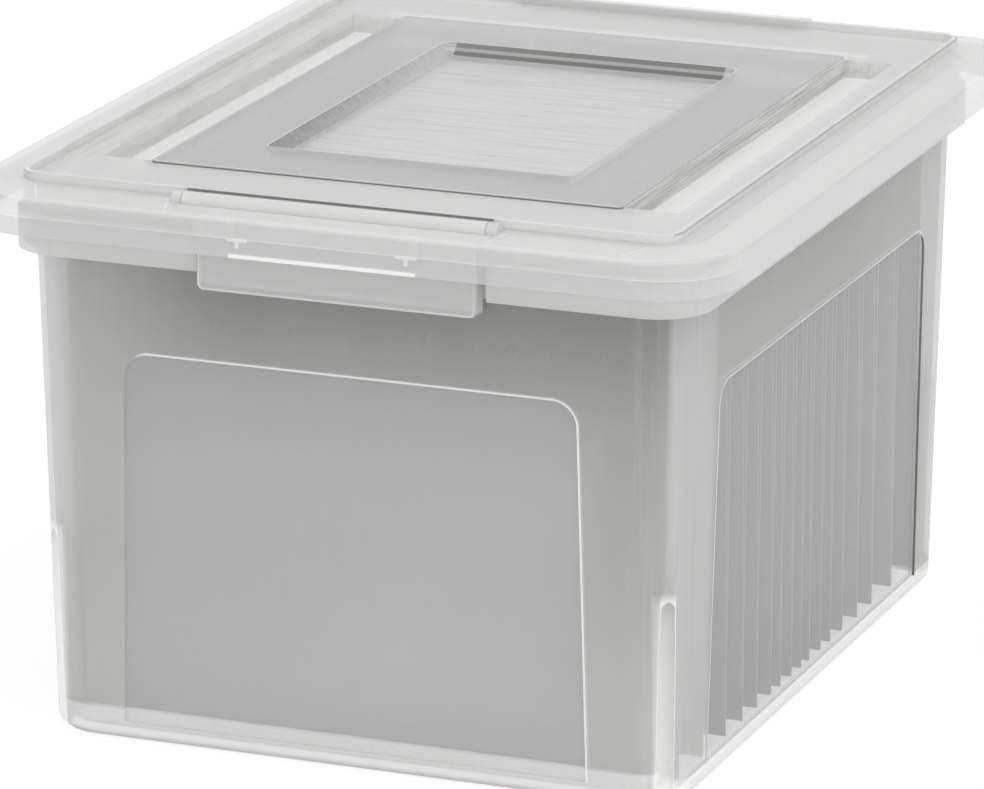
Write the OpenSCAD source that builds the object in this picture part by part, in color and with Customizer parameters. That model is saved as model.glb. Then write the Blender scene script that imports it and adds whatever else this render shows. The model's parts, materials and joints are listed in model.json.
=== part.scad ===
// Portable file box: a frosted clear tub with a snap-on lid, two drop latches and
// hanging folders. The front is the -Y side, and the origin is the middle of the foot.
// Letter folders hang across the box on its side rails.

/* [Tub] */
// Outer width at the foot
tub_w = 312; // [300:1:330]
// Outer depth at the foot
tub_d = 386; // [356:1:430]
// Height of the rim's top
tub_h = 248.7; // [242:0.1:290]
// Thickness of the walls
wall_t = 2.6; // [2:0.1:3.2]
// Thickness of the floor
floor_t = 3; // [2:0.1:5]
// Lift of the floor's middle above the foot
foot_lift = 1.2; // [0.6:0.1:2]
// Width of the ring that the tub stands on
foot_ring = 14; // [10:1:20]
// Lean of each wall from upright, in degrees
draft = 1.15; // [0.6:0.05:1.6]
// Radius of the upright corners
corner_r = 24; // [18:1:30]
// Rounding under the foot
foot_r = 5; // [3:0.5:6]

/* [Rim and rails] */
// Height of the turned-down rim
rim_h = 16.6; // [14:0.1:20]
// Reach of the rim outside the wall
rim_out = 7; // [6.4:0.1:9]
// Thickness of the rim
rim_t = 2.4; // [1.8:0.1:2.6]
// Height of the rails above the bottom of the rim
rail_h = 8.2; // [6.5:0.1:10]

/* [Recessed panels] */
// Depth of the clear panels in the walls
panel_recess = 0.9; // [0.4:0.1:1.2]
// Width of the wall beside the front panel
front_post = 46; // [36:1:76]
// Spread of a panel's foot on each side
panel_spread = 4; // [0:0.5:8]
// Width of the wall beside the side panel
side_post = 47; // [43:1:80]
// Height of the wall between the panels and the rim
panel_head = 44.1; // [33:0.1:82]
// Height of the panels' bottom edge
panel_foot = 9; // [7:1:20]
// Radius of the panels' upper corners
panel_r = 12; // [6:1:20]

/* [Nesting flutes] */
// Radius of the corner flutes
flute_r = 4.2; // [3:0.1:5]
// Height of the corner flutes
flute_h = 94; // [60:1:130]

/* [Lid] */
// Overhang of the lid's sides past the tub's rim
side_over = 16.34; // [13.4:0.02:22]
// Overhang of the lid's front and back past the tub's rim
end_over = 21.84; // [18.4:0.02:30]
// Thickness of the lid
lid_t = 2; // [1.6:0.1:2.4]
// Radius of the lid's upright corners
lid_corner_r = 39; // [34:1:44]
// Rounding of the lid's outer top edge
lid_edge_r = 3; // [2:0.5:4]
// Rise of the lid's frame above the tub's rim
lid_rise = 18.7; // [17:0.1:24]
// Reach of the skirt below the tub's rim
skirt_lap = 2.1; // [1:0.1:6]
// Fall of the lid's top from the stacking lip to its edge
edge_fall = 1.6; // [1:0.1:2.4]
// Width of the sloping margin round the lid's flat top
margin_w = 24; // [20:1:28]
// Height of the stacking lip above the frame
lip_h = 3.3; // [2:0.1:5]
// Thickness of the stacking lip
lip_t = 2.8; // [2:0.1:3.4]

/* [Lid frame] */
// Gap between the stacking lip and the frame's front and back
frame_gap = 47.9; // [37:0.1:60]
// Height of the frame above the lid's flat top
frame_h = 1; // [0.6:0.1:1.6]
// Width of the frame beside the label well
frame_side = 39; // [30:1:60]
// Width of the frame in front of and behind the label well
frame_end = 43.5; // [34:0.5:69]
// Depth of the label well's floor
well_sink = 5.5; // [3:0.1:8]
// Slope of the label well's walls
well_slope = 6; // [2:0.5:8]
// Width of the side troughs
trough_w = 25.5; // [18:0.5:32]
// Land between the stacking lip and a side trough
trough_land = 15.2; // [12.4:0.1:30]
// Shortness of the side troughs at each end of the frame
trough_short = 3; // [0:1:24]
// Depth of the side troughs' floor
trough_sink = 9.4; // [6:0.1:11]

/* [Latches] */
// Width of a latch's plate
latch_w = 134; // [100:1:150]
// Thickness of a latch's plate
latch_t = 2.2; // [1.8:0.1:2.8]
// Reach of a latch's plate below the tub's rim
latch_drop = 6.3; // [3.1:0.1:10]
// Radius of a latch's barrel
barrel_r = 4; // [3.5:0.1:4.4]
// Reach of the barrel past each side of the plate
barrel_over = 6; // [3:0.5:8]
// Radius of a hinge pin
pin_r = 1.6; // [1.2:0.1:2]
// Length of a hinge pin
pin_l = 3.8; // [3:0.1:5]
// Reach of the catch behind a latch's plate
catch_reach = 9.6; // [8.6:0.1:9.9]
// Height of the cheeks beside the catch
cheek_h = 17; // [12:0.5:17.5]
// Radius of a latch's lower corners
latch_r = 3; // [2.5:0.5:8]

/* [Folders] */
// Number of hanging folders
folder_count = 17; // [2:1:18]
// Gap between a folder's card and the tub's side walls at the foot
card_gap = 4.15; // [3.4:0.05:13]
// Thickness of the card
card_t = 0.4; // [0.3:0.1:0.5]
// Height of a folder's crease above the ground
card_foot = 7; // [6:0.5:30]
// Opening between a folder's two hems
mouth = 4.4; // [3:0.1:5]
// Height of the hems round the rods
hem_h = 12; // [11:0.5:16]
// Distance of the first and last folders from the tub's ends at the foot
end_room = 25; // [23:0.5:32]
// Share of the spread that gathers the folders at the middle
gather = 0.36; // [0:0.02:0.4]
// Gap between a rod's hook and the rail's outer face
hook_gap = 0.4; // [0.2:0.1:1.4]
// Thickness of a rod
rod_t = 0.8; // [0.6:0.1:1]
// Height of a rod
rod_h = 10; // [8:0.5:11]
// Thickness of a rod's hook over the rail
hook_t = 2; // [1.5:0.1:2.6]
// Reach of a hook down into the channel
hook_drop = 3.4; // [2:0.1:4.5]
// Width of a hook's tip
hook_w = 1.9; // [1.4:0.1:2.2]

/* [Hidden] */
folder_numbers = [for (i = [1:folder_count]) i];

$fn = 64;
hull_fn = 48;
slice_t = 0.01;
cut = 1;
weld = 0.5;
seat_gap = 0.2;
fit_gap = 0.4;
stack_gap = 0.2;

// Heights of the rim and the rails
rim_z = tub_h - rim_h;
shelf_t = 2.2;
rail_z = rim_z + rail_h;
floor_z = foot_lift + floor_t;

// Sizes of the panels
front_panel_w = tub_w - 2 * front_post;
side_panel_w = tub_d - 2 * side_post;
panel_top = rim_z - panel_head;

// Half sizes of the tub at the rim
rail_x = half_w(rim_z);
rail_y = half_d(rim_z);
rim_x = rail_x + rim_out;
rim_y = rail_y + rim_out;
rim_r = corner_r + 2;

// Sizes of the lid, its lip and its frame
lid_w = 2 * (rim_x + side_over);
lid_d = 2 * (rim_y + end_over);
lip_w = tub_w + 2 * (stack_gap + lip_t);
lip_d = 2 * rim_y;
lip_r = 12;
trough_gap = 0.5;
frame_w = lip_w - 2 * (lip_t + trough_land + trough_w + trough_gap);
frame_d = lip_d - 2 * (lip_t + frame_gap);
frame_r = 3;
well_w = frame_w - 2 * frame_side;
well_d = frame_d - 2 * frame_end;
trough_l = frame_d - 2 * trough_short;
trough_end_slope = 7;
trough_side_slope = 3;

// Heights of the lid
frame_z = tub_h + lid_rise;
flat_z = frame_z - frame_h;
shoulder_z = flat_z - edge_fall;
skirt_z = tub_h - skirt_lap;
plug_h = 4.5;
plug_t = 1.6;
plug_in = rim_t + fit_gap;

// Places of the latches
latch_y = rim_y + fit_gap + barrel_r + fit_gap;
latch_z = frame_z - 2.5 * fit_gap;
latch_foot = rim_z - latch_drop;
barrel_l = latch_w + 2 * barrel_over;
lug_l = pin_l + 1;
bore_r = pin_r + 0.08;
latch_gap = 3;

// Sizes of a folder
card_w = tub_w - 2 * (wall_t + card_gap);
rod_l = 2 * (rail_x + hook_gap + hook_w);
folder_reach = tub_d / 2 - end_room;
card_half = mouth / 2 + card_t + rod_t + 0.1 + card_t;
rod_top = rail_z + seat_gap + hook_t;
card_top = rod_top + 0.1 + card_t;
hem_z = card_top - hem_h;
folder_step = 2 / max(folder_count - 1, 1);
spot_wobble = 1.2;

// Half of the tub's outer width and depth at a height
function half_w(z) = tub_w / 2 + z * tan(draft);
function half_d(z) = tub_d / 2 + z * tan(draft);

// Points of an arc
function arc(x, y, r, from, to, steps = 8) =
    [for (i = [0:steps]) let (a = from + (to - from) * i / steps) [x + r * cos(a), y + r * sin(a)]];

// Place of a folder: gathered at the middle and a little uneven, as they are left
function gathered(u) = folder_reach * ((1 - gather) * u + gather * pow(u, 3));
function is_end(i) = i == 1 || i == folder_count;
function folder_y(i) =
    gathered(-1 + (i - 1) * folder_step) + (is_end(i) ? 0 : spot_wobble * sin(i * 137));

// Rectangle with true round corners, from its half sizes
module plate(x, y, r) {
    square([2 * x, 2 * (y - r)], center = true);
    square([2 * (x - r), 2 * y], center = true);
    for (sx = [-1, 1])
        for (sy = [-1, 1])
            translate([sx * (x - r), sy * (y - r)]) circle(r);
}

module slab(x, y, r, z, height) {
    translate([0, 0, z]) linear_extrude(height) plate(x, y, r);
}

module slice(x, y, r, z) {
    slab(x, y, r, z, slice_t, $fn = hull_fn);
}

// Upright ring with true round corners, measured at its outside
module ring(x, y, r, t, z, height) {
    translate([0, 0, z])
        linear_extrude(height)
            difference() {
                plate(x, y, r);
                plate(x - t, y - t, r - t);
            }
}

// Section of a pit: sloping walls up to the brim, and upright ones above it
function pit_section(x, slope, bottom, brim, over) = [
    [-x, brim + over], [x, brim + over], [x, brim],
    [x - slope, bottom], [slope - x, bottom], [-x, brim]
];

module pit(x, y, slope_x, slope_y, bottom, brim, over) {
    intersection() {
        rotate([90, 0, 0])
            linear_extrude(2 * y + 2 * cut, center = true)
                polygon(pit_section(x, slope_x, bottom, brim, over));
        rotate([90, 0, 90])
            linear_extrude(2 * x + 2 * cut, center = true)
                polygon(pit_section(y, slope_y, bottom, brim, over));
    }
}

// Leaning block of the tub, drawn in by a wall's thickness for the hollow
module leaning_block(inset, foot, round_r, top) {
    r = corner_r - inset;
    hull() {
        for (a = [0:30:90]) {
            z = foot + round_r * (1 - cos(a));
            in = inset + round_r * (1 - sin(a));
            slice(half_w(z) - in, half_d(z) - in, r, z);
        }
        slice(half_w(top) - inset, half_d(top) - inset, r, top - slice_t);
    }
}

// Outline of a wall panel with rounded upper corners
module panel_outline(w) {
    top = w / 2;
    foot = top + panel_spread;
    polygon(concat(
        [[-foot, panel_foot], [foot, panel_foot]],
        arc(top - panel_r, panel_top - panel_r, panel_r, 0, 90),
        arc(panel_r - top, panel_top - panel_r, panel_r, 90, 180)
    ));
}

module panel_cut(w, wall_y) {
    translate([0, -wall_y, 0])
        rotate([draft, 0, 0])
            translate([0, panel_recess, 0])
                rotate([90, 0, 0])
                    linear_extrude(panel_recess + cut) panel_outline(w);
}

// Pointed post that a corner flute is cut with, and its inner skin
module flute_post(r, foot) {
    reach = corner_r * (1 - sin(45));
    for (sx = [-1, 1])
        for (sy = [-1, 1])
            translate([sx * (tub_w / 2 - reach), sy * (tub_d / 2 - reach), foot]) {
                cylinder(r = r, h = flute_h - foot);
                translate([0, 0, flute_h - foot]) cylinder(r1 = r, r2 = 0.3, h = 2 * r);
            }
}

// Room for a latch's catch and cheeks in the turned-down rim
module latch_notch() {
    x = latch_w / 2 + latch_gap;
    translate([-x, -rim_y - cut, rim_z - cut]) cube([2 * x, rim_out + cut, rim_h + 2 * cut]);
}

module tub() {
    color("gainsboro")
        difference() {
            union() {
                difference() {
                    union() {
                        leaning_block(0, 0, foot_r, rim_z + shelf_t);
                        slab(rim_x, rim_y, rim_r, rim_z, rim_h);
                    }
                    leaning_block(wall_t, floor_z, foot_r, rim_z + slice_t);
                    slab(rail_x - wall_t, rail_y - wall_t, corner_r - wall_t, rim_z, rim_h + cut);
                    ring(
                        rim_x - rim_t, rim_y - rim_t, rim_r - rim_t, rim_out - rim_t,
                        rim_z + shelf_t, rim_h
                    );
                    slab(rim_x - rim_t, rim_y - rim_t, rim_r - rim_t, rail_z, rim_h);
                }
                intersection() {
                    flute_post(flute_r + wall_t, foot_lift);
                    leaning_block(wall_t / 2, foot_lift, foot_r, rim_z);
                }
            }
            flute_post(flute_r, -cut);
            slab(
                tub_w / 2 - foot_ring, tub_d / 2 - foot_ring, corner_r / 2,
                -cut, foot_lift + cut
            );
            for (turn = [0, 180])
                rotate([0, 0, turn]) {
                    panel_cut(front_panel_w, tub_d / 2);
                    rotate([0, 0, 90]) panel_cut(side_panel_w, tub_w / 2);
                    latch_notch();
                }
        }
}

// Section of the lid: upright sides, rounded shoulders and a margin that rises to the flat top
function lid_section(x, inset, drop, foot) =
    let (
        shoulder = arc(x - lid_edge_r, shoulder_z - drop - lid_edge_r, lid_edge_r, 0, 90, 4),
        brink = x + inset - margin_w
    )
    concat(
        [[-x, foot], [x, foot]],
        shoulder,
        [[brink, flat_z - drop], [-brink, flat_z - drop]],
        [for (n = [4:-1:0]) [-shoulder[n][0], shoulder[n][1]]]
    );

// Block of the lid, drawn in by the skin's thickness for the hollow
module lid_block(inset, drop, foot) {
    x = lid_w / 2 - inset;
    y = lid_d / 2 - inset;
    intersection() {
        slab(x, y, lid_corner_r - inset, foot, flat_z + cut - foot);
        rotate([90, 0, 0])
            linear_extrude(lid_d + cut, center = true)
                polygon(lid_section(x, inset, drop, foot));
        rotate([90, 0, 90])
            linear_extrude(lid_w + cut, center = true)
                polygon(lid_section(y, inset, drop, foot));
    }
}

// Both side troughs, grown by a skin for their outside
module troughs(skin, brim, over) {
    for (side = [-1, 1])
        translate([side * (frame_w / 2 + trough_gap + trough_w / 2), 0, 0])
            pit(
                trough_w / 2 + skin, trough_l / 2 + skin, trough_side_slope, trough_end_slope,
                frame_z - trough_sink - skin, brim, over
            );
}

module label_well(skin, brim, over) {
    pit(
        well_w / 2 + skin, well_d / 2 + skin, well_slope, well_slope,
        frame_z - well_sink - skin, brim, over
    );
}

// Bar along a latch's axis
module latch_bar(r, length) {
    translate([0, -latch_y, latch_z]) rotate([0, 90, 0]) cylinder(r = r, h = length, center = true);
}

// Lugs that hold a latch's pins: a round bar on a foot, opened by the slot
module latch_lugs() {
    length = barrel_l + 2 * (fit_gap + lug_l);
    depth = latch_z - flat_z + 2 * lid_t;
    latch_bar(barrel_r, length);
    translate([0, -latch_y, latch_z - depth / 2])
        cube([length, 2 * barrel_r, depth], center = true);
}

module latch_slot() {
    x = barrel_l / 2 + fit_gap;
    y = barrel_r + fit_gap;
    translate([-x, -latch_y - y, flat_z - 3 * lid_t]) cube([2 * x, 2 * y, 6 * lid_t]);
}

// Small T-shaped ribs behind the skirt above the latch
module skirt_tees() {
    tee_x = 40.6;
    tee_z = skirt_z + 8.5;
    for (side = [-1, 1])
        translate([side * tee_x, lid_t - lid_d / 2, tee_z]) {
            cube([10, 2 * weld, 1.6], center = true);
            translate([0, 0, -2]) cube([2, 2 * weld, 4], center = true);
        }
}

module lid() {
    color("whitesmoke")
        difference() {
            union() {
                difference() {
                    lid_block(0, 0, skirt_z);
                    lid_block(lid_t, lid_t, skirt_z - cut);
                }
                ring(lip_w / 2, lip_d / 2, lip_r, lip_t, flat_z - weld, frame_h + lip_h + weld);
                slab(frame_w / 2, frame_d / 2, frame_r, flat_z - weld, frame_h + weld);
                troughs(lid_t, flat_z - weld, 0);
                label_well(lid_t, flat_z - weld, 0);
                ring(
                    rim_x, rim_y, rim_r, rim_t + fit_gap + plug_t / 2,
                    tub_h + seat_gap, lid_t
                );
                ring(
                    rim_x - plug_in, rim_y - plug_in, rim_r - plug_in, plug_t,
                    tub_h - plug_h, flat_z - lid_t / 2 - tub_h + plug_h
                );
                for (turn = [0, 180])
                    rotate([0, 0, turn]) {
                        latch_lugs();
                        skirt_tees();
                    }
            }
            troughs(0, frame_z, cut);
            label_well(0, frame_z, cut);
            for (turn = [0, 180])
                rotate([0, 0, turn]) {
                    latch_slot();
                    latch_bar(bore_r, barrel_l + 2 * (pin_l + fit_gap));
                }
        }
}

// One drop latch, hung in the lid's front slot
module latch() {
    plate_h = latch_z - latch_foot;
    inner = latch_t / 2;
    translate([0, -latch_y, latch_z])
        rotate([90, 0, 0])
            linear_extrude(latch_t, center = true)
                union() {
                    translate([-latch_w / 2, latch_r - plate_h]) square([latch_w, plate_h - latch_r]);
                    translate([latch_r - latch_w / 2, -plate_h]) square([latch_w - 2 * latch_r, plate_h]);
                    for (side = [-1, 1])
                        translate([side * (latch_w / 2 - latch_r), latch_r - plate_h]) circle(latch_r);
                }
    latch_bar(barrel_r, barrel_l);
    latch_bar(pin_r, barrel_l + 2 * pin_l);
    catch_x = latch_w / 2 - latch_r;
    translate([-catch_x, inner - weld - latch_y, latch_foot])
        cube([2 * catch_x, catch_reach + weld, latch_t]);
    for (side = [-1, 1])
        translate([side * (catch_x + inner) - inner, -latch_y, latch_foot])
            rotate([90, 0, 90])
                linear_extrude(latch_t) square([inner + catch_reach, cheek_h]);
}

module latch_front() {
    color("lightgray") latch();
}

module latch_back() {
    color("lightgray") rotate([0, 0, 180]) latch();
}

// Folded card of one folder: a crease at the foot and a hem round each rod
module folder_card(i) {
    out = card_half;
    in = mouth / 2;
    bend_z = hem_z - 3;
    crease = card_t / out * (bend_z - card_foot);
    half = [
        [out, bend_z], [out, card_top], [in, card_top], [in, hem_z], [in + card_t, hem_z],
        [in + card_t, card_top - card_t], [out - card_t, card_top - card_t],
        [out - card_t, bend_z]
    ];
    last = len(half) - 1;
    color("darkgray")
        translate([-card_w / 2, folder_y(i), 0])
            rotate([90, 0, 90])
                linear_extrude(card_w)
                    polygon(concat(
                        [[0, card_foot]],
                        half,
                        [[0, card_foot + crease]],
                        [for (n = [last:-1:0]) [-half[n][0], half[n][1]]]
                    ));
}

// One steel rod in a folder's hem, with a hook over each side rail
module folder_rod(i, side) {
    tip = rod_l / 2;
    under = rail_z + seat_gap;
    bar = rail_x - wall_t - cut;
    half = [
        [tip, rod_top], [tip, rail_z - hook_drop], [tip - hook_w, rail_z - hook_drop],
        [tip - hook_w, under], [bar, under], [bar, rod_top - rod_h]
    ];
    last = len(half) - 1;
    middle = mouth / 2 + card_t + 0.05 + rod_t / 2;
    color("silver")
        translate([0, folder_y(i) + side * middle, 0])
            rotate([90, 0, 0])
                linear_extrude(rod_t, center = true)
                    polygon(concat(half, [for (n = [last:-1:0]) [-half[n][0], half[n][1]]]));
}

tub();
lid();
latch_front();
latch_back();
for (i = folder_numbers) {
    folder_card(i);
    folder_rod(i, -1);
    folder_rod(i, 1);
}
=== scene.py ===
"""Portable file box: frosted tub and lid, drop latches, hanging folders and a white studio."""

import json
import math
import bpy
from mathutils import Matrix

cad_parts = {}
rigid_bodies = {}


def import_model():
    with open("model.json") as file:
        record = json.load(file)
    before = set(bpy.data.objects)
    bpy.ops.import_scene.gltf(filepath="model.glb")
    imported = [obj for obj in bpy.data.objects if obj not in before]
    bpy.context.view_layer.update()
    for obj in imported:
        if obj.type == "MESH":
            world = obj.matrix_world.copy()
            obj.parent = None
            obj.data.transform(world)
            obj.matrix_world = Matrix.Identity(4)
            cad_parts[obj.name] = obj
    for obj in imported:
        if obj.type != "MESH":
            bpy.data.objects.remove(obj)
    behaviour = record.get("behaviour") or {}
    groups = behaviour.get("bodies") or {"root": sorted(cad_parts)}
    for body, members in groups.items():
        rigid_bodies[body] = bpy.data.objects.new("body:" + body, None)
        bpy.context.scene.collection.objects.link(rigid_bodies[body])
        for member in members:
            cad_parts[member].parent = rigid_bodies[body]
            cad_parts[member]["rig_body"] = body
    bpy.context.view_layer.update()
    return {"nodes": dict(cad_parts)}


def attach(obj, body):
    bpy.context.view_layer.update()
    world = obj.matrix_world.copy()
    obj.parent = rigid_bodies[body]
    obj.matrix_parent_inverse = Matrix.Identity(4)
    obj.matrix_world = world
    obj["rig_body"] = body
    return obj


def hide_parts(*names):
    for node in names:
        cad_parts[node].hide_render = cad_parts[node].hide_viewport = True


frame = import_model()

from types import SimpleNamespace

import bmesh
import bpy
from mathutils import Vector

bl_info = {
    "name": "Portable file box",
    "version": (1, 0, 0),
    "blender": (4, 5, 0),
    "location": "3D View > Sidebar > File box",
    "description": "Dresses a frosted file box and its hanging folders, and sets up a studio",
    "category": "Object",
}

MM = 0.001
CARDS = sorted(name for name in frame["nodes"] if name.startswith("folder_card_"))
RODS = sorted(name for name in frame["nodes"] if "_rod_" in name)

PLASTIC_IOR = 1.49
WALL_LEAN = math.tan(math.radians(1.15))
SHARP_ANGLE = math.radians(28)
FLAT_ANGLE = math.radians(0.6)
WELD_DISTANCE = 0.002 * MM

FLOOR_HALF = 12
PAPER = 0.82
PAPER_GLOW = 1.12
PAPER_GLOW_SHARE = 0.72
LAMP_SIZE = 1.8
LAMP_PLACE = Vector((1.55, -1.1, 2.3))
LAMP_AIM = Vector((0, 0, 0.15))
SENSOR_WIDTH = 36.0
CLIP_END = 50
SEE_THROUGH_SURFACES = 24


def millimetres(**measures):
    """Named measures in metres.

    A pair is where a mask is 0 and where it is 1. Three are a rounded box's half sizes and radius.
    """
    def metres(value):
        return tuple(map(metres, value)) if isinstance(value, tuple) else value * MM
    return SimpleNamespace(**{name: metres(value) for name, value in measures.items()})


# --- Settings ---


def tint(name, description, default):
    return bpy.props.FloatVectorProperty(
        name=name, description=description, subtype="COLOR", size=3, min=0, max=1, default=default)


def share(name, description, default):
    return bpy.props.FloatProperty(
        name=name, description=description, subtype="FACTOR", min=0, max=1, default=default)


def length(name, description, default):
    return bpy.props.FloatProperty(
        name=name, description=description, unit="LENGTH", min=0, default=default * MM)


class FileBoxPlastic(bpy.types.PropertyGroup):
    """Finish of the moulded plastic."""

    frost: tint("Frost", "Colour of the frosted lid and latches", (0.76, 0.76, 0.755))
    wall: tint("Wall", "Colour of the frosted walls", (0.57, 0.57, 0.56))
    shade: tint("Shade", "Colour of the walls in the shade of the rim", (0.32, 0.32, 0.31))
    smoke: tint("Smoke", "Colour of the clear panels", (0.56, 0.56, 0.555))
    skirt: tint("Skirt", "Colour of the lid's skirt", (0.78, 0.78, 0.775))
    hem: tint("Hem", "Colour of the skirt below its crease", (0.66, 0.67, 0.66))
    window: tint("Window", "Colour of the label well's floor", (0.86, 0.86, 0.86))
    tan: tint("Tan", "Colour of the folders' tops seen through the lid", (0.52, 0.51, 0.46))
    # Painted shade, put on steep walls, gaps, steps, slots and shadowed edges
    gap: tint("Gap", "Colour of steep walls and gaps that look dark", (0.16, 0.16, 0.155))
    glint: tint("Glint", "Colour of edges that catch the light", (1.0, 1.0, 0.99))
    frosted_alpha: share("Frosted cover", "How much one frosted surface covers", 0.46)
    lid_alpha: share("Lid cover", "How much one frosted surface of the lid covers", 0.6)
    clear_alpha: share("Clear cover", "How much one clear surface covers", 0.30)
    latch_alpha: share("Latch cover", "How much one surface of a latch covers", 0.55)
    bevel: length("Edge rounding", "Rounding of the moulded edges", 0.4)


class FileBoxPanels(bpy.types.PropertyGroup):
    """Places of the clear panels, as in the solid tub."""

    front_half: length("Front half width", "Half width of the front panel's top", 110)
    side_half: length("Side half width", "Half width of the side panel's top", 146)
    top: length("Top", "Height of the panels' upper edge", 188)
    foot: length("Foot", "Height of the panels' lower edge", 9)
    spread: length("Spread", "How much wider a panel is at its foot, on each side", 4)
    corner: length("Corner", "Radius of the upper corners", 12)


class FileBoxFolders(bpy.types.PropertyGroup):
    """Finish of the hanging folders."""

    card: tint("Card", "Colour of the folders' card", (0.64, 0.64, 0.64))
    cut: tint("Cut edges", "Colour of the card's cut edges", (0.9, 0.9, 0.89))
    steel: tint("Steel", "Colour of the rods", (0.72, 0.72, 0.73))


class FileBoxStage(bpy.types.PropertyGroup):
    """Camera and light."""

    lens: bpy.props.FloatProperty(
        name="Lens", description="Focal length in millimetres", min=1, default=258.0)
    distance: length("Distance", "From the camera to its target", 3360.8)
    azimuth: bpy.props.FloatProperty(
        name="Azimuth", description="Turn of the camera round the box",
        subtype="ANGLE", default=math.radians(21.54))
    elevation: bpy.props.FloatProperty(
        name="Elevation", description="Camera's angle above the horizon",
        subtype="ANGLE", default=math.radians(16.41))
    target: bpy.props.FloatVectorProperty(
        name="Target", description="Point that the camera looks at",
        subtype="TRANSLATION", size=3, default=(-7.85 * MM, 0, 125.2 * MM))
    sky: bpy.props.FloatProperty(
        name="Sky", description="Strength of the even studio light", min=0, default=0.98)
    lamp: bpy.props.FloatProperty(
        name="Lamp", description="Power of the large lamp in watts", min=0, default=20.0)


# --- Shader helpers ---


class Signal:
    """A number that varies over a surface, with the arithmetic that the materials use."""

    def __init__(self, owner, socket):
        self.owner = owner
        self.socket = socket

    def math(self, operation, *values):
        return self.owner.number("ShaderNodeMath", values, operation=operation)

    def __add__(self, other):
        return self.math("ADD", self, other)

    def __radd__(self, other):
        return self.math("ADD", other, self)

    def __sub__(self, other):
        return self.math("SUBTRACT", self, other)

    def __rsub__(self, other):
        return self.math("SUBTRACT", other, self)

    def __mul__(self, other):
        return self.math("MULTIPLY", self, other)

    def __rmul__(self, other):
        return self.math("MULTIPLY", other, self)

    def __abs__(self):
        return self.math("ABSOLUTE", self)

    def over(self, floor):
        return self.math("MAXIMUM", self, floor)

    def under(self, ceiling):
        return self.math("MINIMUM", self, ceiling)

    def root(self):
        return self.math("SQRT", self)

    def fade(self, start, end):
        """0 at start and 1 at end, with a soft step between them."""
        if start < end:
            return self.ramp(start, end)
        return 1 - self.ramp(end, start)

    def ramp(self, low, high):
        return self.owner.number(
            "ShaderNodeMapRange", (self, low, high, 0.0, 1.0), interpolation_type="SMOOTHSTEP")


class NodeTree:
    """The nodes of one material or world."""

    def __init__(self, block):
        block.use_nodes = True
        self.nodes = block.node_tree.nodes
        self.links = block.node_tree.links

    def node(self, kind, values=(), **settings):
        """Adds a node: its settings, then its inputs' values or links, in order or by name."""
        made = self.nodes.new(kind)
        for key, value in settings.items():
            setattr(made, key, value)
        if isinstance(values, dict):
            pairs = [(made.inputs[name], value) for name, value in values.items()]
        else:
            pairs = zip([socket for socket in made.inputs if socket.enabled], values)
        for socket, value in pairs:
            self.feed(socket, value)
        return made

    def feed(self, socket, value):
        source = getattr(value, "socket", value)
        if isinstance(source, bpy.types.NodeSocket):
            self.links.new(source, socket)
        else:
            socket.default_value = source

    def number(self, kind, values, **settings):
        made = self.node(kind, values, **settings)
        return Signal(self, made.outputs[0])


class Finish(NodeTree):
    """One material on a Principled surface."""

    def __init__(self, name, constants):
        self.material = bpy.data.materials.new(name)
        super().__init__(self.material)
        self.surface = self.nodes["Principled BSDF"]
        for socket, value in constants.items():
            self.wear(socket, value)
        self.place = self.node("ShaderNodeTexCoord").outputs["Object"]
        axes = self.node("ShaderNodeSeparateXYZ", (self.place,)).outputs
        self.x, self.y, self.z = (Signal(self, axis) for axis in axes)

    def noise(self, scale, detail, stretch=(1.0, 1.0, 1.0)):
        """Noise between 0 and 1, with scale features to the metre, stretched along the axes."""
        place = self.node("ShaderNodeMapping", {"Vector": self.place, "Scale": stretch}).outputs[0]
        values = {"Vector": place, "Scale": scale, "Detail": detail}
        made = self.node("ShaderNodeTexNoise", values, noise_dimensions="3D")
        return Signal(self, made.outputs["Fac"])

    def blend(self, factor, first, second):
        made = self.node("ShaderNodeMix", (factor, first, second), data_type="RGBA")
        return made.outputs["Result"]

    def paint(self, ground, coats):
        """Base colour: the ground, then each coat's colour blended over it by its mask."""
        base = colour(ground)
        for mask, coat in coats:
            base = self.blend(mask, base, colour(coat))
        self.wear("Base Color", base)

    def bump(self, height, strength, distance):
        values = {"Strength": strength, "Distance": distance, "Height": height}
        self.wear("Normal", self.node("ShaderNodeBump", values).outputs["Normal"])

    def wear(self, socket, value):
        self.feed(self.surface.inputs[socket], value)


def colour(values):
    return (*values, 1.0)


def rounded_box(u, v, half_u, half_v, radius):
    """Signed distance from a rounded rectangle's edge, below zero inside."""
    du = abs(u) - (half_u - radius)
    dv = abs(v) - (half_v - radius)
    corner = (du.over(0) * du.over(0) + dv.over(0) * dv.over(0)).root()
    return corner + du.over(dv).under(0) - radius


# --- Places on the solids ---

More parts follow.
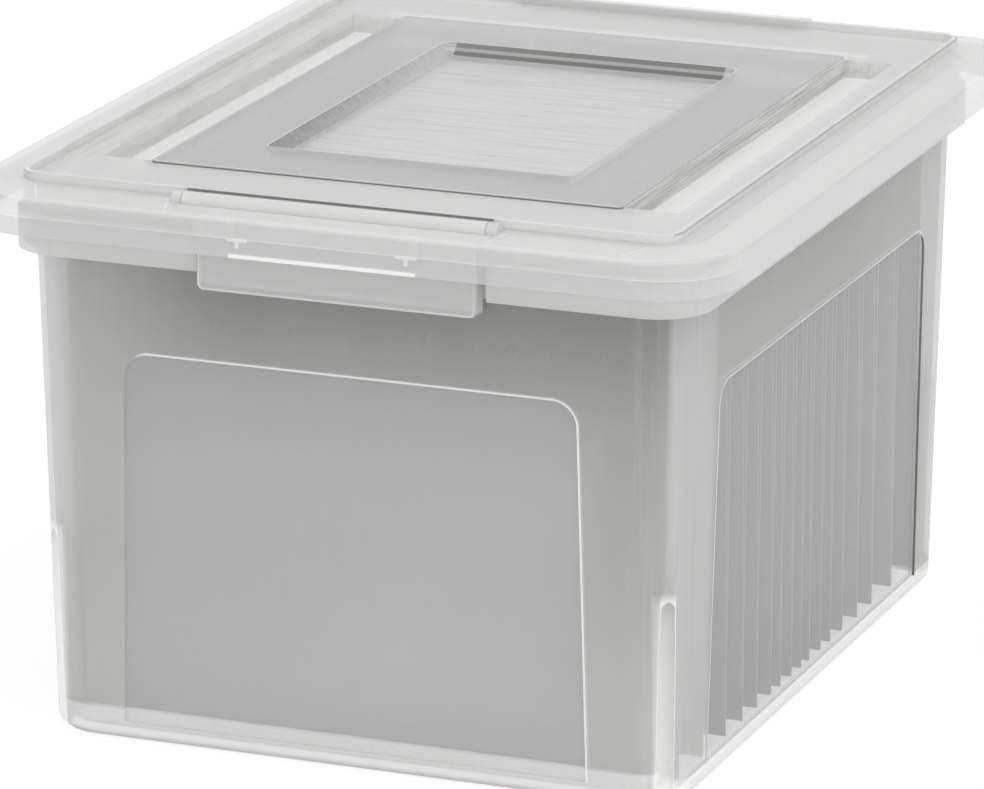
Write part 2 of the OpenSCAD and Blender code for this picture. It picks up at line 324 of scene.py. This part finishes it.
TUB = millimetres(
    top=248.7,
    panel_run_on=60,
    flute_x=148.97,
    flute_y=185.97,
    front_face=(183, 186),
    side_face=(146, 149),
    foot_blur=0.5,
    panel_inside=(0.3, -0.3),
    front_line=(0.9, 0.4),
    side_line=(0.8, 0.3),
    lit_x=(-108, -98),
    back_half=(0, 10),
    dark_edge_y=(130, 140),
    dark_edge_z=(186, 182),
    flute_radius=(4.9, 4.5),
    flute_glow=(5.2, 3.6),
    flute_face=(186, 188),
    flute_top=(102, 96),
    left_flute=(0, -100),
    corner_side=(150.5, 154.5),
    corner_front=(148, 156),
    left_corner_x=(-130, -150),
    left_corner_y=(172, 186),
    foot=(9.5, 6),
    front_foot=(16.5, 14.5),
    side_foot=(11.5, 9.5),
    floor_x=(150, 148),
    floor_y=(184, 182),
    floor_z=(5.6, 5),
    rim=(230.5, 232.5),
    rim_shade=(120, 230),
    right_shade_z=(20, 220),
    right_shade_x=(90, 130),
    end_wall=(180, 190),
    left_fade=(-60, -140),
    low_z=(110, 10),
    low_y=(165, 180),
    low_corner=(136, 146),
    far_side=(0, 150),
    panel_shade=(130, 190),
    streak_x=(128, 140),
    streak_y=(160, 180),
    bump=0.15,
)

LID = millimetres(
    brim=(184, 226.5, 39),
    frame=(115, 154, 3),
    well=(76, 110.5, 4),
    trough_x=128.25,
    trough=(12.75, 151, 3),
    lip=(159, 204.66, 12),
    top=(254.5, 256),
    inside=(0.1, -0.1),
    outside=(-0.1, 0.1),
    well_floor=(-5.4, -6.2),
    trough_floor=(259.2, 258.6),
    trough_wall=(258.8, 259.4),
    frame_side=(119.4, 118.6),
    outer=(-3, -2.6),
    skirt_top=(264, 262),
    hem=(255.7, 255.1),
    ends=(180, 206),
    crease_z=255.6,
    thin=(0.5, 0.2),
    ridge_inset=1.3,
    ridge=(1.4, 0.3),
    ridge_z=(262.8, 263.6),
    well_side=(69, 70.2),
    well_end=(103.5, 104.7),
    fold_inset=3,
    fold=(1, 0.5),
    land_inner=(140.5, 142),
    land_outer=(159, 156),
    land_y=(165, 150),
    trough_end=(142.5, 144),
    left_half=(20, -20),
    back_band_y=160,
    back_band=(4.4, 3.4),
    back_band_x=(128, 122),
    sill_inset=0.8,
    sill=(0.7, 0.3),
    sill_y=(151, 152.5),
    well_sill_outset=0.4,
    tee_x=40.6,
    tee_bar=(5.2, 4.8),
    tee_bar_z=255.1,
    tee_bar_height=(1, 0.6),
    tee_stem=(1.3, 0.8),
    tee_stem_z=253.2,
    tee_stem_height=(2.2, 1.8),
    strip_x=44,
    strip=(2.6, 1.8),
    strip_z=(255.6, 256),
    gleam_x=(45.5, 44.5),
    gleam_z=(248.8, 248.2),
    latch_face=(222, 222.5),
    step=(0.3, 0.15),
    step_y=(150, 152),
    step_from=(266.2, 266.5),
    step_to=(267.1, 266.9),
    lip_line_inset=0.2,
    lip_line=(0.6, 0.3),
    lip_line_z=(269.5, 270.2),
    lip_line_x=(156, 157),
    slot_x=(74.5, 73.5),
    slot_from=(204.2, 204.5),
    slot_to=(205.6, 205.2),
    slot_z=(256, 257),
    slot_line_z=269.2,
    front_half=(100, -100),
    rib_y=215,
    rib_line=(0.8, 0.3),
    rib_from=(206.5, 208.5),
    rib_to=(224, 221.5),
    near_floor=(0, -5),
    near_back=(-100, 80),
    shoulder_inset=1.5,
    shoulder=(4, 2),
    shoulder_z=(260, 262),
    bump=0.15,
)

# Where each slanted rib of the lid starts from the middle, and its slant
RIBS = ((144 * MM, 0.5), (79.5 * MM, 0.3))

LATCH = millimetres(
    middle_z=254.6,
    plate=(67, 28.8, 3),
    outline_inset=0.5,
    outline=(0.8, 0.3),
    outline_z=(261, 259),
    lip=(229.2, 228.6),
    barrel=(261.5, 263.5),
    bump=0.15,
)

CARD = millimetres(score_z=20, score=(0.5, 0.1), edge=(148.8, 149.1), bump=0.1)


# --- Materials ---


def tub_finish(plastic, panels):
    """Frosted walls with clearer panels, painted highlights on the panel edges and flutes, painted
    shade under the rim, and corners and foot painted paler.
    """
    f = Finish("tub_plastic", {"IOR": PLASTIC_IOR})
    far_x, far_y = abs(f.x), abs(f.y)
    facing_front = far_y.fade(*TUB.front_face)
    facing_side = far_x.fade(*TUB.side_face)

    # The panels' outlines run on below the floor and widen downwards
    half_height = (panels.top + TUB.panel_run_on) / 2
    level = f.z - (panels.top - half_height)
    widening = (panels.top - f.z) * (panels.spread / (panels.top - panels.foot))
    front = rounded_box(f.x, level, widening + panels.front_half, half_height, panels.corner)
    side = rounded_box(f.y, level, widening + panels.side_half, half_height, panels.corner)
    above_foot = f.z.fade(panels.foot - TUB.foot_blur, panels.foot + TUB.foot_blur)
    clear_front = front.fade(*TUB.panel_inside) * facing_front * above_foot
    clear_side = side.fade(*TUB.panel_inside) * facing_side * above_foot
    clear = (clear_front * 0.85).over(clear_side)

    # Panel edges get a painted highlight, but the front's left one is plain and the sides' far one
    # gets painted shade
    back_half = f.y.fade(*TUB.back_half)
    lit_edge = f.x.fade(*TUB.lit_x).over(back_half)
    dark_edge = f.y.fade(*TUB.dark_edge_y) * f.z.fade(*TUB.dark_edge_z)
    line_front = abs(front).fade(*TUB.front_line) * facing_front * lit_edge
    line_side = abs(side).fade(*TUB.side_line) * facing_side
    line = line_front.over(line_side * (1 - dark_edge) * 0.7) * above_foot
    shadow = line_side * dark_edge * above_foot

    # Nesting flutes with a painted highlight, the left ones brighter
    across = far_x - TUB.flute_x
    along = far_y - TUB.flute_y
    flute_highlight = (across * across + along * along).root().fade(*TUB.flute_radius)
    flute_highlight = flute_highlight * (0.62 + f.x.fade(*TUB.left_flute) * 0.38)
    glow = abs(across).fade(*TUB.flute_glow) * far_y.fade(*TUB.flute_face)
    flute_highlight = flute_highlight.over(glow * 0.3) * f.z.fade(*TUB.flute_top)

    # Painted light: paler corners, foot, rim, low ends and far sides, and a clearer floor with a
    # painted highlight
    at_top = far_x + (TUB.top - f.z) * WALL_LEAN
    corner = at_top.fade(*TUB.corner_side) * far_y.fade(*TUB.corner_front)
    corner = corner * (0.75 - back_half * 0.55)
    corner = corner.over(f.x.fade(*TUB.left_corner_x) * far_y.fade(*TUB.left_corner_y))
    foot = f.z.fade(*TUB.foot).over(f.z.fade(*TUB.front_foot) * facing_front)
    foot = foot.over(f.z.fade(*TUB.side_foot) * facing_side * 0.7)
    floor = far_x.fade(*TUB.floor_x) * far_y.fade(*TUB.floor_y) * f.z.fade(*TUB.floor_z)
    rim = f.z.fade(*TUB.rim)
    low = f.z.fade(*TUB.low_z) * far_y.fade(*TUB.low_y)
    low = low * (0.4 + far_x.fade(*TUB.low_corner) * 0.5)
    far = f.y.fade(*TUB.far_side) * facing_side * 0.35
    painted_paleness = corner.over(foot).over(rim).over(low).over(far)

    # Shade under the rim
    right_shade = f.z.fade(*TUB.right_shade_z) * f.x.fade(*TUB.right_shade_x) * 0.6
    under_rim = f.z.fade(*TUB.rim_shade).over(right_shade)
    under_rim = under_rim * far_y.fade(*TUB.end_wall) * (1 - f.x.fade(*TUB.left_fade) * 0.7)
    panel_shade = f.z.fade(*TUB.panel_shade) * clear_front * 0.14

    cloud = f.noise(9, 2, (1, 1, 0.6))
    flow = f.noise(260, 2, (1, 1, 0.012))
    grain = f.noise(1500, 1)
    streak = far_x.fade(*TUB.streak_x) * far_y.fade(*TUB.streak_y)
    # Painted highlights on the panel edges, flutes, rim and the sides' foot
    bright = (line * 0.65).over(flute_highlight).over(rim * 0.35).over(foot * (1 - facing_front) * 0.8)
    f.paint(plastic.wall, (
        (under_rim, plastic.shade),
        (clear, plastic.smoke),
        (painted_paleness, plastic.frost),
        (panel_shade, plastic.gap),
        (cloud.fade(0.2, 0.8) * 0.10, plastic.frost),
        (flow.fade(0.45, 0.75) * (0.03 + streak * 0.2), plastic.frost),
        (flow.fade(0.45, 0.2) * (0.03 + streak * 0.25), plastic.shade),
        (bright, plastic.glint),
        (shadow, plastic.gap),
        (floor * 0.6, plastic.glint),
    ))
    cover = plastic.frosted_alpha + clear * (plastic.clear_alpha - plastic.frosted_alpha)
    cover = cover * (1 - floor * 0.75) + (line + shadow) * 0.6
    cover = cover + flute_highlight * 0.5 + rim * 0.15 + foot * (1 - floor) * 0.3
    f.wear("Alpha", cover.under(1))
    f.wear("Roughness", 0.46 - clear * 0.22 + (grain - 0.5) * 0.08)
    f.bump(grain + flow * 0.6, 0.12, TUB.bump)
    return f.material


def lid_finish(plastic):
    """Frosted lid with a clear frame, a streaky label well and a creased skirt, with painted
    highlights on ridges, ribs and sills and painted shade in steps, slots and steep walls.
    """
    f = Finish("lid_plastic", {"IOR": PLASTIC_IOR})
    far_x, far_y = abs(f.x), abs(f.y)
    brim = rounded_box(f.x, f.y, *LID.brim)
    frame_edge = rounded_box(f.x, f.y, *LID.frame)
    well_edge = rounded_box(f.x, f.y, *LID.well)
    trough_edge = rounded_box(far_x - LID.trough_x, f.y, *LID.trough)
    lip_edge = rounded_box(f.x, f.y, *LID.lip)

    streaks = f.noise(260, 2, (0.06, 1, 1))
    drawn = f.noise(2400, 2, (1, 0.008, 1))
    hems = f.noise(300, 2, (1, 0.08, 1))
    ticks = f.noise(1100, 1, (0.05, 0.7, 0.2))
    cloud = f.noise(7, 2, (1, 0.6, 1))
    grain = f.noise(1500, 1)

    # Frame, label well and troughs: painted shade on the well's and troughs' walls, a painted
    # highlight on the trough floors
    top = f.z.fade(*LID.top)
    frame_band = frame_edge.fade(*LID.inside) * well_edge.fade(*LID.outside) * top
    well = well_edge.fade(*LID.inside) * top
    well_floor = well_edge.fade(*LID.well_floor) * top
    side_wall = far_x.fade(*LID.well_side)
    end_wall = far_y.fade(*LID.well_end)
    fold = abs(well_edge + LID.fold_inset).fade(*LID.fold) * 0.35
    near_floor = well_edge.fade(*LID.near_floor)
    near_back = f.y.fade(*LID.near_back)
    paler = ticks.fade(0.3, 0.7) * 0.12 + near_floor * 0.1 + near_back * 0.28
    trough = trough_edge.fade(*LID.inside) * top
    trough_floor = trough * f.z.fade(*LID.trough_floor)
    trough_wall = trough * (1 - trough_floor)
    frame_wall = far_x.fade(*LID.frame_side) * trough * f.z.fade(*LID.trough_wall)

    # Folders' tops seen through the left margin and the troughs' ends, and a painted highlight
    # band at the back
    land = far_x.fade(*LID.land_inner) * far_x.fade(*LID.land_outer) * far_y.fade(*LID.land_y)
    tan = land.over(trough_wall) * f.x.fade(*LID.left_half)
    tan = tan.over(trough_wall * far_y.fade(*LID.trough_end))
    back_band = abs(f.y - LID.back_band_y).fade(*LID.back_band)
    back_band = back_band * far_x.fade(*LID.back_band_x) * top

    # Skirt with its hem, crease and upper ridge, and the sills of frame and well; crease, ridge
    # and sills are painted highlight lines
    outer = brim.fade(*LID.outer)
    ends = far_y.fade(*LID.ends)
    skirt = outer * f.z.fade(*LID.skirt_top)
    hem = skirt * f.z.fade(*LID.hem) * (ends * 0.8 + 0.2)
    crease = skirt * abs(f.z - LID.crease_z).fade(*LID.thin) * ends
    ridge = abs(brim + LID.ridge_inset).fade(*LID.ridge) * f.z.fade(*LID.ridge_z) * ends
    sill = abs(frame_edge + LID.sill_inset).fade(*LID.sill) * far_y.fade(*LID.sill_y)
    sill = sill.over(abs(well_edge - LID.well_sill_outset).fade(*LID.thin) * 0.8) * top

    # T-shaped ribs, the strips over them and the gleam between them, painted as highlights
    tee_x = abs(far_x - LID.tee_x)
    bar = tee_x.fade(*LID.tee_bar) * abs(f.z - LID.tee_bar_z).fade(*LID.tee_bar_height)
    stem = tee_x.fade(*LID.tee_stem) * abs(f.z - LID.tee_stem_z).fade(*LID.tee_stem_height)
    strip = abs(far_x - LID.strip_x).fade(*LID.strip) * f.z.fade(*LID.strip_z)
    tee = bar.over(stem).over(strip * 0.15)
    gleam = far_x.fade(*LID.gleam_x) * f.z.fade(*LID.gleam_z)
    marks = (tee * 0.6).over(gleam * 0.9) * outer * far_y.fade(*LID.latch_face)

    # Painted shade: dark lines at the frame's step, on the stacking lip and in the latches' slots
    step = abs(frame_edge).fade(*LID.step) * far_y.fade(*LID.step_y)
    step = step * f.z.fade(*LID.step_from) * f.z.fade(*LID.step_to)
    lip_line = abs(lip_edge + LID.lip_line_inset).fade(*LID.lip_line)
    lip_line = lip_line * f.z.fade(*LID.lip_line_z) * f.x.fade(*LID.lip_line_x)
    slot = far_x.fade(*LID.slot_x) * far_y.fade(*LID.slot_from) * far_y.fade(*LID.slot_to)
    slot = slot * f.z.fade(*LID.slot_z) * f.y.fade(*LID.front_half).over(0.5)
    slot = slot * (1 - abs(f.z - LID.slot_line_z).fade(*LID.thin) * 0.6)

    # Slanted ribs on the flat margin, painted as highlight lines
    outwards = far_y - LID.rib_y
    ribs = [abs(far_x - place + outwards * slant).fade(*LID.rib_line) for place, slant in RIBS]
    rib = ribs[0].over(ribs[1]) * far_y.fade(*LID.rib_from) * far_y.fade(*LID.rib_to) * top

    shine = (crease * 0.6).over(ridge * 0.2).over(rib * 0.6).over(sill * 0.7).over(marks)
    f.paint(plastic.frost, (
        (skirt, plastic.skirt),
        (hem, plastic.hem),
        (frame_band, plastic.smoke),
        (well, plastic.gap),
        ((well * side_wall * paler).under(1), plastic.window),
        (well * end_wall * fold, plastic.frost),
        (well_floor, plastic.window),
        (well_floor * streaks.fade(0.52, 0.35) * 0.35, plastic.smoke),
        (trough_floor * (0.4 + drawn.fade(0.3, 0.6) * 0.3), plastic.glint),
        (frame_wall * (0.15 + drawn.fade(0.65, 0.35) * 0.5), plastic.gap),
        (tan * hems.fade(0.45, 0.7) * 0.45, plastic.tan),
        (back_band * 0.5, plastic.glint),
        (cloud.fade(0.3, 0.7) * 0.10, plastic.smoke),
        (shine, plastic.glint),
        (lip_line * 0.6, plastic.gap),
        (step.over(slot), plastic.gap),
    ))
    cover = plastic.lid_alpha - skirt * 0.16 - well_floor * 0.12 + trough_floor * 0.15
    cover = cover + well * (1 - well_floor) * 0.28
    f.wear("Alpha", (cover + (frame_wall + step + slot + marks).under(1) * 0.3).under(1))
    shoulder = abs(brim + LID.shoulder_inset).fade(*LID.shoulder) * f.z.fade(*LID.shoulder_z)
    rough = 0.42 - (frame_band + well) * 0.16 + shoulder * 0.35
    f.wear("Roughness", rough + (grain - 0.5) * 0.08)
    f.bump(grain + streaks * well_floor, 0.1, LID.bump)
    return f.material


def latch_finish(plastic):
    """Frosted plate with a painted highlight along its outline and barrel, and a duller lip along
    its foot.
    """
    f = Finish("latch_plastic", {"IOR": PLASTIC_IOR, "Alpha": plastic.latch_alpha})
    plate = rounded_box(f.x, f.z - LATCH.middle_z, *LATCH.plate)
    outline = abs(plate + LATCH.outline_inset).fade(*LATCH.outline) * f.z.fade(*LATCH.outline_z)
    cloud = f.noise(20, 3)
    grain = f.noise(1500, 2)
    f.paint(plastic.frost, (
        (cloud * 0.1, plastic.smoke),
        # Painted highlights on the barrel and along the outline
        (f.z.fade(*LATCH.barrel) * 0.6, plastic.glint),
        (f.z.fade(*LATCH.lip) * 0.3, plastic.smoke),
        (outline * 0.8, plastic.glint),
    ))
    f.wear("Roughness", 0.4 + (grain - 0.5) * 0.08)
    f.bump(grain, 0.1, LATCH.bump)
    return f.material


def card_finish(folders):
    """Matt grey card with fibres, a faint score line and paler cut edges."""
    f = Finish("folder_card", {})
    fibre = f.noise(420, 4, (0.35, 1, 1))
    mottle = f.noise(14, 3, (0.5, 1, 1))
    speck = f.noise(2600, 1)
    tone = (fibre - 0.5) * 0.16 + (mottle - 0.5) * 0.10 + (speck - 0.5) * 0.05 + 0.5
    dark = tuple(c * 0.82 for c in folders.card)
    light = tuple(min(1, c * 1.2) for c in folders.card)
    f.paint(dark, (
        (tone, light),
        (abs(f.z - CARD.score_z).fade(*CARD.score) * 0.4, dark),
        (abs(f.x).fade(*CARD.edge) * 0.5, folders.cut),
    ))
    f.wear("Roughness", 0.84 + (speck - 0.5) * 0.1)
    f.bump(fibre + speck * 0.4, 0.25, CARD.bump)
    return f.material


def rod_finish(folders):
    """Bright steel strip with drawn streaks along its length."""
    f = Finish("rod_steel", {"Metallic": 1.0})
    streak = f.noise(900, 2, (0.02, 1, 1))
    f.paint(tuple(c * 0.8 for c in folders.steel), ((streak, folders.steel),))
    f.wear("Roughness", 0.28 + streak * 0.14)
    return f.material


# --- Pieces ---


def moulded_copy(node, name, bevel, finish):
    """A node's merged copy with rounded edges and smooth shading, standing for the node."""
    source = frame["nodes"][node]
    shape = bmesh.new()
    shape.from_mesh(source.data)
    bmesh.ops.remove_doubles(shape, verts=shape.verts, dist=WELD_DISTANCE)
    bmesh.ops.dissolve_limit(
        shape, angle_limit=FLAT_ANGLE, verts=shape.verts, edges=shape.edges)
    mesh = bpy.data.meshes.new(name)
    shape.to_mesh(mesh)
    shape.free()
    mesh.materials.clear()
    mesh.materials.append(finish)
    piece = bpy.data.objects.new(name, mesh)
    bpy.context.scene.collection.objects.link(piece)
    mesh.shade_smooth()
    mesh.set_sharp_from_angle(angle=SHARP_ANGLE)
    if bevel:
        rounding = piece.modifiers.new("Edge rounding", "BEVEL")
        rounding.width = bevel
        rounding.segments = 2
        rounding.limit_method = "ANGLE"
        rounding.angle_limit = SHARP_ANGLE
        rounding.harden_normals = True
        flat = piece.modifiers.new("Flat faces", "WEIGHTED_NORMAL")
        flat.keep_sharp = True
        flat.weight = 100
    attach(piece, source["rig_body"])
    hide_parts(node)


def finish_nodes(names, material):
    for name in names:
        for slot in frame["nodes"][name].material_slots:
            slot.material = material


class FILEBOX_OT_tub(bpy.types.Operator):
    """Makes the frosted tub."""

    bl_idname = "filebox.tub"
    bl_label = "Tub"

    def execute(self, context):
        plastic = context.scene.filebox_plastic
        finish = tub_finish(plastic, context.scene.filebox_panels)
        moulded_copy("tub", "tub_shell", plastic.bevel, finish)
        return {"FINISHED"}


class FILEBOX_OT_lid(bpy.types.Operator):
    """Makes the frosted lid."""

    bl_idname = "filebox.lid"
    bl_label = "Lid"

    def execute(self, context):
        plastic = context.scene.filebox_plastic
        moulded_copy("lid", "lid_shell", plastic.bevel, lid_finish(plastic))
        return {"FINISHED"}


class FILEBOX_OT_latches(bpy.types.Operator):
    """Makes both drop latches."""

    bl_idname = "filebox.latches"
    bl_label = "Latches"

    def execute(self, context):
        plastic = context.scene.filebox_plastic
        finish = latch_finish(plastic)
        for side in ("front", "back"):
            moulded_copy(
                "latch_" + side, side + "_latch_plate", plastic.bevel, finish)
        return {"FINISHED"}


class FILEBOX_OT_folders(bpy.types.Operator):
    """Finishes the hanging folders and their rods."""

    bl_idname = "filebox.folders"
    bl_label = "Folders"

    def execute(self, context):
        folders = context.scene.filebox_folders
        finish_nodes(CARDS, card_finish(folders))
        finish_nodes(RODS, rod_finish(folders))
        return {"FINISHED"}


class FILEBOX_OT_stage(bpy.types.Operator):
    """Sets the floor, the light and the camera."""

    bl_idname = "filebox.stage"
    bl_label = "Studio"

    def execute(self, context):
        stage = context.scene.filebox_stage
        self.floor()
        self.sky(context.scene, stage)
        self.lamp(stage)
        self.camera(context.scene, stage)
        context.scene.view_settings.view_transform = "Standard"
        context.scene.cycles.transparent_max_bounces = SEE_THROUGH_SURFACES
        return {"FINISHED"}

    def floor(self):
        shape = bmesh.new()
        bmesh.ops.create_grid(shape, x_segments=1, y_segments=1, size=FLOOR_HALF)
        mesh = bpy.data.meshes.new("floor")
        shape.to_mesh(mesh)
        shape.free()
        floor = bpy.data.objects.new("floor", mesh)
        bpy.context.scene.collection.objects.link(floor)
        f = Finish("floor_paper", {
            "Base Color": colour((PAPER, PAPER, PAPER)),
            "Roughness": 0.9,
            "Specular IOR Level": 0.1,
        })
        ray = f.node("ShaderNodeLightPath").outputs
        seen = Signal(f, ray["Is Camera Ray"]).over(ray["Is Transmission Ray"])
        glow_colour = colour((PAPER_GLOW, PAPER_GLOW, PAPER_GLOW))
        glow = f.node("ShaderNodeEmission", (glow_colour, 1.0)).outputs[0]
        shaders = (seen * PAPER_GLOW_SHARE, f.surface.outputs[0], glow)
        mixed = f.node("ShaderNodeMixShader", shaders).outputs[0]
        f.feed(f.nodes["Material Output"].inputs["Surface"], mixed)
        mesh.materials.append(f.material)

    def sky(self, scene, stage):
        world = bpy.data.worlds.new("studio")
        studio = NodeTree(world)
        studio.nodes.clear()
        white = colour((1, 1, 1))
        even = studio.node("ShaderNodeBackground", (white, stage.sky)).outputs[0]
        plain = studio.node("ShaderNodeBackground", (white, 1.0)).outputs[0]
        ray = studio.node("ShaderNodeLightPath").outputs
        seen = Signal(studio, ray["Is Camera Ray"]).over(ray["Is Glossy Ray"])
        mixed = studio.node("ShaderNodeMixShader", (seen, even, plain)).outputs[0]
        studio.node("ShaderNodeOutputWorld", (mixed,))
        scene.world = world

    def lamp(self, stage):
        light = bpy.data.lights.new("softbox", "AREA")
        light.shape = "SQUARE"
        light.size = LAMP_SIZE
        light.energy = stage.lamp
        lamp = bpy.data.objects.new("softbox", light)
        lamp.location = LAMP_PLACE
        lamp.rotation_euler = (LAMP_AIM - LAMP_PLACE).to_track_quat("-Z", "Y").to_euler()
        bpy.context.scene.collection.objects.link(lamp)

    def camera(self, scene, stage):
        data = bpy.data.cameras.new("camera")
        data.sensor_width = SENSOR_WIDTH
        data.lens = stage.lens
        data.clip_end = CLIP_END
        camera = bpy.data.objects.new("camera", data)
        level = math.cos(stage.elevation)
        back = Vector((
            math.sin(stage.azimuth) * level,
            -math.cos(stage.azimuth) * level,
            math.sin(stage.elevation),
        ))
        camera.location = Vector(stage.target) + back * stage.distance
        camera.rotation_euler = (-back).to_track_quat("-Z", "Y").to_euler()
        scene.collection.objects.link(camera)
        scene.camera = camera


class FILEBOX_PT_panel(bpy.types.Panel):
    """Lists the pieces of the file box."""

    bl_idname = "FILEBOX_PT_panel"
    bl_label = "File box"
    bl_space_type = "VIEW_3D"
    bl_region_type = "UI"
    bl_category = "File box"

    def draw(self, context):
        for operator in OPERATORS:
            self.layout.operator(operator.bl_idname)


OPERATORS = (
    FILEBOX_OT_tub,
    FILEBOX_OT_lid,
    FILEBOX_OT_latches,
    FILEBOX_OT_folders,
    FILEBOX_OT_stage,
)
SETTINGS = {
    "filebox_plastic": FileBoxPlastic,
    "filebox_panels": FileBoxPanels,
    "filebox_folders": FileBoxFolders,
    "filebox_stage": FileBoxStage,
}
CLASSES = (*SETTINGS.values(), *OPERATORS, FILEBOX_PT_panel)


def register():
    for item in CLASSES:
        bpy.utils.register_class(item)
    for name, group in SETTINGS.items():
        setattr(bpy.types.Scene, name, bpy.props.PointerProperty(type=group))


def unregister():
    for name in SETTINGS:
        delattr(bpy.types.Scene, name)
    for item in reversed(CLASSES):
        bpy.utils.unregister_class(item)


def main():
    register()
    bpy.ops.filebox.tub()
    bpy.ops.filebox.lid()
    bpy.ops.filebox.latches()
    bpy.ops.filebox.folders()
    bpy.ops.filebox.stage()


if __name__ == "__main__":
    main()
